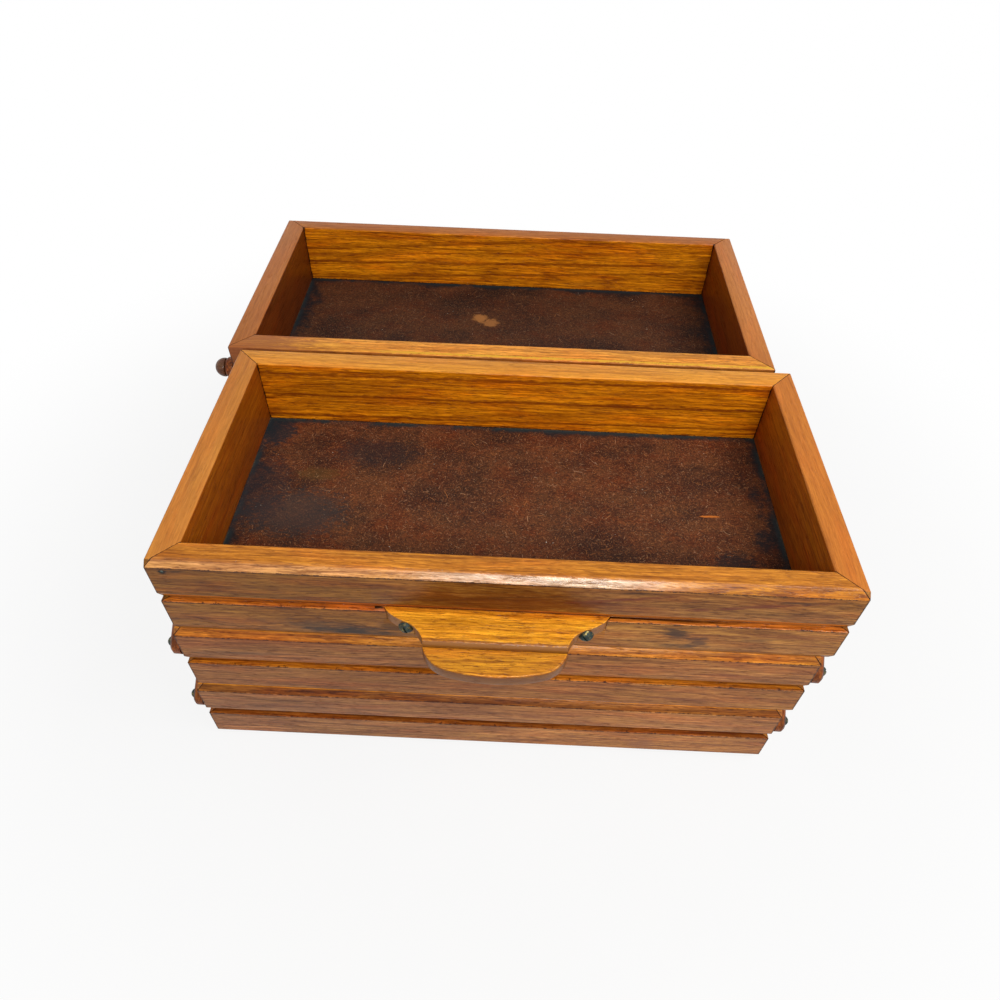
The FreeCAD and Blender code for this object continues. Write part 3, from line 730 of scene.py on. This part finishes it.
# Stains of a floor are measured from the middle of the box.
FLOOR_MARKS = {
    "rear_top_tray": [
        Mark(-18.4, 96.2, 4.9, 4.9, 0, (158, 104, 56), 0.9),
        Mark(-11.2, 91.6, 5.2, 4.9, 0, (150, 98, 54), 0.9),
    ],
    "front_top_tray": [
        Mark(-68.0, -38.0, 24.0, 11.0, 0, (40, 33, 34), 0.5),
        Mark(-102.0, -84.0, 26.0, 17.0, 0, (56, 50, 48), 0.65),
        Mark(-122.0, -70.0, 14.0, 26.0, 0, (40, 36, 40), 0.5),
        Mark(-126.0, -24.0, 12.0, 12.0, 0, (28, 36, 42), 0.8),
        Mark(118.0, -108.0, 12.0, 10.0, 0, (24, 24, 28), 0.75),
        Mark(-96.0, -56.0, 12.0, 5.0, 0, (112, 80, 36), 0.3),
        Mark(109.0, -74.5, 4.6, 0.7, 0, (206, 116, 44), 0.9),
    ],
}


# Short curved fibres, at most one in each cell of a pattern, turned, bent and tinted at random.
def add_fibres(shade, colour, x, y, layer, seed):
    cell, longest, width, share, strength = layer
    spread = shade.joined(shade.scaled(x, 1 / cell, seed * 3.7), shade.math("DIVIDE", y, cell), 0.0)
    cells = shade.add("TexVoronoi", {"Vector": spread, "Scale": 1.0}, voronoi_dimensions="2D").outputs
    turn, length, hue = shade.split(cells["Color"])
    drawn = shade.vector("FRACTION", shade.stretch(cells["Color"], (37.0, 53.0, 71.0)))
    chance, bend = shade.split(drawn)[:2]
    off_x, off_y = shade.split(shade.vector("SUBTRACT", spread, cells["Position"]))[:2]
    turn = shade.times(turn, math.pi)
    cosine, sine = shade.math("COSINE", turn), shade.math("SINE", turn)
    along = shade.scaled(off_x, cosine, shade.times(off_y, sine))
    across = shade.scaled(off_y, cosine, shade.times(off_x, sine, -1.0))
    bend = shade.scaled(bend, 2.0, -1.0)
    across = shade.math("ABSOLUTE", shade.scaled(shade.times(along, along), bend, across))
    along = shade.math("DIVIDE", shade.math("ABSOLUTE", along), shade.scaled(length, longest, 0.08))
    body = shade.times(shade.step(across, width, width * 0.3), shade.step(along, 1.0, 0.7))
    chosen = shade.step(chance, 1 - share - 0.02, 1 - share + 0.02)
    return shade.paint(colour, shade.ramp(hue, FIBRE_COLOURS), body, chosen, strength)


# Blue-black darkening in the corners and along the walls, then a little grey dust.
def add_wall_darkening(shade, colour, point, low, high, shift, fine, mat):
    x, y = shade.split(point)[:2]
    ends = shade.math("MINIMUM", shade.less(x, low.x), shade.less(high.x, x))
    rear = shade.less(high.y, y)
    sides = shade.math("MINIMUM", shade.times(shade.less(y, low.y), 1.3), rear)
    ragged = shade.noise(point, 0.05, shift, detail=5.0, roughness=0.66)
    reach = shade.scaled(ragged, -34.0, 16.0)
    near_end = shade.step(shade.plus(shade.times(ends, 0.6), reach), 5.5, -1.0)
    near_side = shade.step(shade.plus(sides, reach), 3.0, -2.0)
    corner = shade.plus(shade.plus(shade.times(ends, 0.5), shade.times(sides, 0.7)), reach)
    darkening = shade.math("MAXIMUM", near_end, near_side)
    darkening = shade.math("MAXIMUM", darkening, shade.step(corner, 9.0, 1.0))
    mottled = shade.times(darkening, shade.step(mat, 0.74, 0.46))
    colour = shade.paint(colour, WALL_DARKENING, shade.scaled(mottled, 0.5, shade.times(darkening, 0.4)))

    edge = shade.math("MINIMUM", ends, rear)
    darkening = shade.step(shade.scaled(mat, -5.0, edge), 1.2, -1.4)
    darkening = shade.times(darkening, shade.scaled(shade.step(ragged, 0.42, 0.56), 0.6, 0.3))
    colour = shade.paint(colour, EDGE_DARKENING, darkening)
    dust = shade.step(shade.scaled(fine, -4.0, edge), -1.4, -2.1)
    return shade.paint(colour, DUST, dust, shade.step(ragged, 0.46, 0.56), 0.5)


# low and high are the corners of the space inside the tray.
def hardboard_material(tray, low, high, seed):
    shade = new_material(tray + "_floor_panel_hardboard")
    point = shade.place()
    shift = (seed * 37.0, seed * 19.0, 0.0)
    x, y = shade.split(point)[:2]
    coarse = shade.noise(point, (0.028, 0.04, 0.04), shift, detail=5.0, roughness=0.62)
    cloud = shade.noise(point, (0.05, 0.07, 0.05), shift[::-1], detail=4.0, roughness=0.6)
    fine = shade.noise(point, (1.0, 1.3, 1.3), shift, detail=5.0, roughness=0.8)
    mat = shade.noise(point, (0.35, 0.7, 0.7), shift, detail=4.0, roughness=0.72, distortion=0.8)
    colour = shade.ramp(fine, FINE_COLOURS)
    for value, tints in ((coarse, COARSE_TINTS), (cloud, CLOUD_TINTS), (mat, MAT_TINTS)):
        colour = shade.tint(colour, shade.ramp(value, tints))
    for index, layer in enumerate(FIBRE_LAYERS):
        colour = add_fibres(shade, colour, x, y, layer, seed + index * 5)
    colour = add_wall_darkening(shade, colour, point, low, high, shift, fine, mat)
    colour = shade.tint(colour, FLOOR_TINTS.get(tray, WHITE))
    speck = shade.noise(point, 0.9, shift[::-1], detail=0.0)
    colour = shade.paint(colour, SPECK, shade.step(speck, 0.885, 0.90))
    colour = add_marks(shade, colour, FLOOR_MARKS.get(tray, ()), x, y, mat, FLOOR_FADE)
    height = shade.plus(shade.times(fine, 0.8), shade.times(mat, 0.6))
    return shade.finish(Base_Color=colour, Roughness=shade.scaled(fine, 0.2, 0.62),
                        Normal=shade.bump(height, 0.8, 0.25 * MM), Specular_IOR_Level=0.15)


# Metal

# Bright metal, its dull patina, and the two levels of a noise between which the patina thins out.
Metal = namedtuple("Metal", "bright patina covered bare seed")
BRASS = Metal(rgb(140, 126, 78), rgb(16, 28, 25), 0.50, 0.66, 3.0)
STEEL = Metal(rgb(96, 100, 92), rgb(30, 34, 32), 0.4, 0.6, 9.0)
VERDIGRIS = rgb(20, 56, 54)
PITTING = (0.01, 0.015, 0.012)


def metal_material(name, metal):
    shade = new_material(name)
    point = shade.stretch(shade.place(), (1.0, 1.0, 1.0), (metal.seed, 0.0, 0.0))
    cloud = shade.noise(point, 0.55, detail=4.0, roughness=0.65)
    grit = shade.noise(point, 3.0, detail=3.0)
    green = shade.noise(point, 0.8, (5.0, 0.0, 0.0), detail=3.0)
    dull = shade.step(cloud, metal.bare, metal.covered)
    colour = shade.mix(dull, metal.bright, metal.patina)
    colour = shade.paint(colour, VERDIGRIS, shade.step(green, 0.46, 0.62), 0.7)
    colour = shade.mix(shade.step(grit, 0.45, 0.7), colour, shade.mix(0.35, colour, PITTING))
    return shade.finish(Base_Color=colour, Metallic=shade.scaled(dull, -0.8, 1.0),
                        Roughness=shade.scaled(dull, 0.3, 0.28),
                        Normal=shade.bump(grit, 0.4, 0.08 * MM))


# Pieces

# Points closer than WELD are one. Edges over EASED_LENGTH that turn more than SHARP are rounded by
# wear, and faces that meet at more than FACET degrees are shaded apart.
WELD = 1e-6
COPLANAR = math.radians(1)
SHARP = math.radians(20)
EASED_LENGTH = 0.8 * MM
FACET = 15
BOARD_EASE, LINK_EASE, PULL_EASE = 0.35 * MM, 0.4 * MM, 0.45 * MM
SLOTS = {part["node"]: part["material_slot"] for part in frame["record"]["subparts"]}

# Cuts beside a pull part the long ledge, which easing its sharp corners would fold.
PULL_CUTS = (-51 * MM, 51 * MM)


def nodes_of(slot):
    return [node for node in sorted(frame["nodes"]) if SLOTS[node] == slot]


def add_object(name, mesh, material=None):
    data = bpy.data.meshes.new(name)
    mesh.to_mesh(data)
    mesh.free()
    for face in data.polygons:
        face.use_smooth = True
    if material:
        data.materials.append(material)
    piece = bpy.data.objects.new(name, data)
    bpy.context.scene.collection.objects.link(piece)
    return piece


# A visible piece that stands for one node and moves with its body.
def add_piece(name, node, mesh, material, facet=FACET):
    piece = add_object(name, mesh, material)
    piece.data.set_sharp_from_angle(angle=math.radians(facet))
    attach(piece, frame["nodes"][node]["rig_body"])
    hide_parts(node)


# The node's shape with its coplanar triangles joined.
def clean_mesh(node):
    mesh = bmesh.new()
    mesh.from_mesh(frame["nodes"][node].data)
    bmesh.ops.remove_doubles(mesh, verts=mesh.verts, dist=WELD)
    bmesh.ops.dissolve_limit(mesh, angle_limit=COPLANAR, verts=mesh.verts, edges=mesh.edges)
    return mesh


# The node's shape with its long sharp edges rounded by wear.
def eased_mesh(node, ease, segments=2, cuts=()):
    mesh = clean_mesh(node)
    for place in cuts:
        everything = mesh.verts[:] + mesh.edges[:] + mesh.faces[:]
        bmesh.ops.bisect_plane(mesh, geom=everything, plane_co=(place, 0, 0), plane_no=(1, 0, 0))
    edges = [edge for edge in mesh.edges
             if edge.calc_face_angle() > SHARP and edge.calc_length() > EASED_LENGTH]
    bmesh.ops.bevel(mesh, geom=edges, offset=ease, segments=segments, profile=0.5, affect="EDGES",
                    clamp_overlap=False)
    return mesh


def make_boards():
    boards = [(tray, side) for tray in TRAYS for side in SIDES]
    for seed, (tray, side) in enumerate(boards, 1):
        node = tray + "_" + side + "_board"
        cuts = PULL_CUTS if tray == side + "_top_tray" else ()
        mesh = eased_mesh(node, BOARD_EASE, cuts=cuts)
        add_piece(node + "_worn", node, mesh, board_material(node, tray, side, seed))


# The top of a floor panel is a fine grid that swells and dips a little, but not at the walls.
GRID_X, GRID_Y = 70, 36
WAVES, WAVE_TURNS = 5, (8, 30)
SWELL, SWELL_RISE = 0.25 * MM, 12
FLOOR_SEED, FLOOR_FACET = 40, 30


def make_floors():
    for index, tray in enumerate(TRAYS):
        node = tray + "_floor_panel"
        low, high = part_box(node)
        size = high - low
        middle = (high + low) / 2
        mesh = bmesh.new()
        bmesh.ops.create_grid(mesh, x_segments=GRID_X, y_segments=GRID_Y, size=0.5)
        draw = random.Random(FLOOR_SEED + index)
        waves = [(draw.uniform(*WAVE_TURNS), draw.uniform(*WAVE_TURNS), draw.uniform(0, 6))
                 for wave in range(WAVES)]
        for vert in mesh.verts:
            u, v = vert.co.x, vert.co.y
            sag = sum(math.sin(a * u + b * v + c) for a, b, c in waves) / WAVES
            edge = min(0.5 - abs(u), 0.5 - abs(v))
            drop = (1 + sag) * 0.5 * SWELL * min(1.0, edge * SWELL_RISE)
            vert.co = Vector((middle.x + u * size.x, middle.y + v * size.y, high.z - drop))
        made = bmesh.ops.extrude_face_region(mesh, geom=mesh.faces[:])
        for vert in (item for item in made["geom"] if isinstance(item, bmesh.types.BMVert)):
            vert.co.z = low.z
        bmesh.ops.recalc_face_normals(mesh, faces=mesh.faces)
        walls = Vector((WALL, WALL, 0))
        inner_low, inner_high = tray_box[tray][0] + walls, tray_box[tray][1] - walls
        material = hardboard_material(tray, inner_low, inner_high, index + 1)
        add_piece(node + "_hardboard", node, mesh, material, FLOOR_FACET)


# A link is dark round its end pivots: painted shade under the heads.
def link_material(node, stack, seed):
    rise = Vector((0, -STACKS[stack] * PIVOT_RUN, TIER_HEIGHT)).normalized()
    shade = new_material(node + "_wood")
    grain = Grain(rise, rise.cross(X), (20, 40), 0.02)
    colour, relief, pores = wood_layers(shade, LINK_WOOD, LINK_WOOD.tone, grain, seed)
    low, high = (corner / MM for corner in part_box(node))
    point = shade.place()
    grit = shade.noise(point, 0.4, detail=3.0)
    ys = (low.y + LINK_HALF, high.y - LINK_HALF)[::-STACKS[stack]]
    for y, z in zip(ys, (low.z + LINK_HALF, high.z - LINK_HALF)):
        away = shade.vector("SUBTRACT", point, Vector((0, y, z)))
        away = shade.vector("LENGTH", shade.stretch(away, (0.0, 1.0, 1.0)), output="Value")
        dark = shade.step(shade.scaled(grit, 3.0, away), 8.6, 6.0)
        colour = shade.paint(colour, DIRT_AND_SHADE, dark, 0.85)
    return varnish(shade, colour, relief, pores, 0.2)


LINK_SEED = 61


def make_links():
    for seed, node in enumerate(nodes_of("link_wood"), LINK_SEED):
        mesh = eased_mesh(node, LINK_EASE, 3)
        add_piece(node + "_worn", node, mesh, link_material(node, node.split("_")[0], seed))


# Fasteners

PIVOT_HEAD_RADIUS, PIVOT_HEAD_HEIGHT = 2.7 * MM, 2.8 * MM
PULL_HEAD_RADIUS, PULL_HEAD_HEIGHT = 3.5 * MM, 2.6 * MM
SCREW_RADIUS, SCREW_RIM, SCREW_FACET = 1.75 * MM, 0.25 * MM, 35
SLOT_WIDTH, SLOT_DEPTH = 0.8 * MM, 1.0 * MM
PEG_RADIUS, PEG_HEAD_RADIUS, PEG_HEAD_HEIGHT = 3.0 * MM, 5.3 * MM, 6.3 * MM
PEG_RIM, PEG_FACET = 0.5 * MM, 40
SCREW_SEED, PEG_SEED = 7, 91

# The radius of a shank's tip as a share of the shank's own.
TIP_SHARE = 0.8


# A closed surface turned about an axis that starts at a point and runs along a direction.
def lathe(mesh, profile, start, direction, steps=40):
    turn = direction.to_track_quat("X", "Z").to_matrix()
    rings = []
    for along, radius in profile:
        count = steps if radius > WELD else 1
        ring = []
        for step in range(count):
            angle = 2 * math.pi * step / steps
            local = Vector((along, radius * math.cos(angle), radius * math.sin(angle)))
            ring.append(mesh.verts.new(start + turn @ local))
        rings.append(ring)
    for first, second in zip(rings, rings[1:]):
        for step in range(steps):
            after = (step + 1) % steps
            corners = [first[step % len(first)], first[after % len(first)],
                       second[after % len(second)], second[step % len(second)]]
            mesh.faces.new(list(dict.fromkeys(corners)))


# The profile of a round head, from a height above its foot to its top.
def dome(radius, height, start, points=9):
    ball = (radius ** 2 + height ** 2) / (2 * height)
    reach = math.acos(1 - height / ball)
    angles = [reach * (1 - index / (points - 1)) for index in range(points)]
    profile = [(height - ball * (1 - math.cos(angle)), ball * math.sin(angle)) for angle in angles]
    return [point for point in profile if point[0] > start]


# The boxes round the separate solids of a node.
def solid_boxes(node):
    mesh = clean_mesh(node)
    left = set(mesh.verts)
    boxes = []
    while left:
        group, border = set(), [left.pop()]
        while border:
            vert = border.pop()
            group.add(vert)
            for edge in vert.link_edges:
                other = edge.other_vert(vert)
                if other in left:
                    left.discard(other)
                    border.append(other)
        places = [vert.co for vert in group]
        boxes.append((Vector(map(min, *places)), Vector(map(max, *places))))
    mesh.free()
    return sorted(boxes, key=lambda pair: tuple(pair[0]))


# A fastener points away from the box along one axis: the foot of its head, its way and its shank.
def seat_of(low, high, axis, head_height):
    way = math.copysign(1, low[axis] + high[axis])
    foot = (low + high) / 2
    foot[axis] = (high if way > 0 else low)[axis] - way * head_height
    out = Vector((0, 0, 0))
    out[axis] = way
    return foot, out, high[axis] - low[axis] - head_height


# Adds a round headed screw to a mesh: a turned head and shank, with a slot cut across the dome.
def add_screw(mesh, foot, out, shank, head_radius, head_height, slot_turn):
    profile = [(-shank, 0.0), (-shank, SCREW_RADIUS * TIP_SHARE), (SCREW_RIM - shank, SCREW_RADIUS),
               (0.0, SCREW_RADIUS), (0.0, head_radius - SCREW_RIM * 0.6),
               (SCREW_RIM * 0.4, head_radius - SCREW_RIM * 0.1)]
    profile += dome(head_radius, head_height, SCREW_RIM * 0.6)
    turned, cutter = bmesh.new(), bmesh.new()
    lathe(turned, profile, Vector((0, 0, 0)), X)
    bmesh.ops.recalc_face_normals(turned, faces=turned.faces)
    bmesh.ops.create_cube(cutter, size=1.0)
    for vert in cutter.verts:
        vert.co = Vector((vert.co.x * SLOT_DEPTH * 2, vert.co.y * SLOT_WIDTH, vert.co.z * head_radius * 3))
        vert.co.x += head_height
    head, tool = add_object("head", turned), add_object("tool", cutter)
    slot = head.modifiers.new("slot", "BOOLEAN")
    slot.operation = "DIFFERENCE"
    slot.solver = "EXACT"
    slot.object = tool
    bpy.context.view_layer.update()
    graph = bpy.context.evaluated_depsgraph_get()
    screw = bpy.data.meshes.new_from_object(head.evaluated_get(graph))
    turn = out.to_track_quat("X", "Z").to_matrix().to_4x4()
    screw.transform(Matrix.Translation(foot) @ turn @ Matrix.Rotation(slot_turn, 4, "X"))
    mesh.from_mesh(screw)
    for data in (head.data, tool.data, screw):
        bpy.data.meshes.remove(data)


def make_screws():
    draw = random.Random(SCREW_SEED)
    brass = metal_material("patinated_brass", BRASS)
    for node in nodes_of("screw_metal"):
        if node.endswith("pull_screws"):
            axis, radius, height = 1, PULL_HEAD_RADIUS, PULL_HEAD_HEIGHT
        else:
            axis, radius, height = 0, PIVOT_HEAD_RADIUS, PIVOT_HEAD_HEIGHT
        mesh = bmesh.new()
        for low, high in solid_boxes(node):
            seat = seat_of(low, high, axis, height)
            add_screw(mesh, *seat, radius, height, draw.uniform(0, math.pi))
        add_piece(node + "_slotted", node, mesh, brass, SCREW_FACET)


def make_pegs():
    node = "rear_top_tray_pivot_pegs"
    mesh = bmesh.new()
    for low, high in solid_boxes(node):
        foot, out, shank = seat_of(low, high, 0, PEG_HEAD_HEIGHT)
        profile = [(-shank, 0.0), (-shank, PEG_RADIUS * TIP_SHARE), (PEG_RIM - shank, PEG_RADIUS),
                   (0.0, PEG_RADIUS), (0.0, PEG_HEAD_RADIUS - PEG_RIM),
                   (PEG_RIM * 0.3, PEG_HEAD_RADIUS - PEG_RIM * 0.3)]
        profile += dome(PEG_HEAD_RADIUS, PEG_HEAD_HEIGHT, PEG_RIM * 0.5, 14)
        lathe(mesh, profile, foot, out, 48)
    bmesh.ops.recalc_face_normals(mesh, faces=mesh.faces)
    shade = new_material("peg_wood")
    layers = wood_layers(shade, PEG_WOOD, PEG_WOOD.tone, Grain(X, Z, (6, 9), 0.0), PEG_SEED)
    add_piece("rear_top_tray_turned_pegs", node, mesh, varnish(shade, *layers, 0.24), PEG_FACET)


# The nail's head is a little hollow.
def make_nail():
    node = "front_top_tray_corner_nail"
    low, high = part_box(node)
    radius = (high.x - low.x) / 2
    length = high.y - low.y
    start = Vector(((low.x + high.x) / 2, high.y, (low.z + high.z) / 2))
    profile = [(0.0, 0.0), (0.0, radius * 0.5), (radius, radius), (length - 0.2 * MM, radius),
               (length, radius * 0.8), (length - 0.15 * MM, radius * 0.4), (length - 0.2 * MM, 0.0)]
    mesh = bmesh.new()
    lathe(mesh, profile, start, -Y, 24)
    bmesh.ops.recalc_face_normals(mesh, faces=mesh.faces)
    add_piece("front_top_tray_sunk_nail", node, mesh, metal_material("nail_steel", STEEL), SCREW_FACET)


# Pulls

PULL_SEED = 80
SPECK_BROWN = rgb(110, 58, 14)
EDGE_SHADE_BROWN = rgb(116, 70, 34)
HOLLOW_BROWN = rgb(150, 100, 52)
ARRIS_BROWN = rgb(112, 56, 12)
LINE_BROWN = rgb(128, 62, 14)
OUTER_TINT = (0.68, 0.63, 0.42)


# The shaped plates with their edges rounded by hand and by use.
def make_pulls():
    for seed, stack in enumerate(STACKS, PULL_SEED):
        node = stack + "_pull"
        add_piece(node + "_carved", node, eased_mesh(node, PULL_EASE, 3), pull_material(node, seed))


# Specks, painted shade on the sawn edge, the flute and its arrises, the darker lip and a line under the
# top.
def pull_material(node, seed):
    low, high = (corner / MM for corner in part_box(node))
    shade = new_material(node + "_wood")
    grain = Grain(X, Y, (-(low.y + high.y) / 2 + 34, 30 - high.z), 0.03)
    colour, relief, pores = wood_layers(shade, PULL_WOOD, PULL_WOOD.tone, grain, seed)
    point = shade.place()
    y, z = shade.split(point)[1:]
    grit = shade.noise(point, 0.5, detail=4.0, roughness=0.7)
    speck = shade.noise(point, (1.3, 1.8, 1.8))
    colour = shade.paint(colour, SPECK_BROWN, shade.step(speck, 0.64, 0.70), 0.45)
    from_top = shade.less(high.z, z)
    # The edge below the top is darker: painted shade.
    edge = shade.step(shade.scaled(grit, -0.6, from_top), 0.1, 0.5)
    colour = shade.paint(colour, EDGE_SHADE_BROWN, edge, 0.85)
    flute = shade.less(shade.math("ABSOLUTE", y), max(-low.y, high.y) - FLUTE_IN)
    hollow = shade.stripe(shade.plus(flute, 0.4), 1.1, grit, 0.6)
    colour = shade.paint(colour, HOLLOW_BROWN, hollow, 0.6)
    for offset, strength in ((-FLUTE_HALF, 0.75), (FLUTE_HALF, 0.6)):
        arris = shade.stripe(shade.plus(flute, offset), 0.25, grit, 0.5)
        colour = shade.paint(colour, ARRIS_BROWN, arris, strength)
    outer = shade.step(shade.scaled(grit, 3.0, flute), 2.4, 5.4)
    colour = shade.tint(colour, OUTER_TINT, outer, 0.8)
    line = shade.stripe(shade.less(from_top, 0.45), 0.2, grit, 0.5)
    colour = shade.paint(colour, LINE_BROWN, line, 0.6)
    return varnish(shade, colour, relief, pores, 0.28)


# The box of each tray in millimetres, from its four boards.
def tray_corners():
    corners = {}
    for tray in TRAYS:
        lows, highs = zip(*(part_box(tray + "_" + side + "_board") for side in SIDES))
        corners[tray] = (Vector(map(min, *lows)) / MM, Vector(map(max, *highs)) / MM)
    return corners


tray_box = tray_corners()
make_camera()
make_light()
make_surroundings()
make_boards()
make_floors()
make_links()
make_screws()
make_pegs()
make_nail()
make_pulls()

bpy.context.scene.view_settings.view_transform = "Standard"
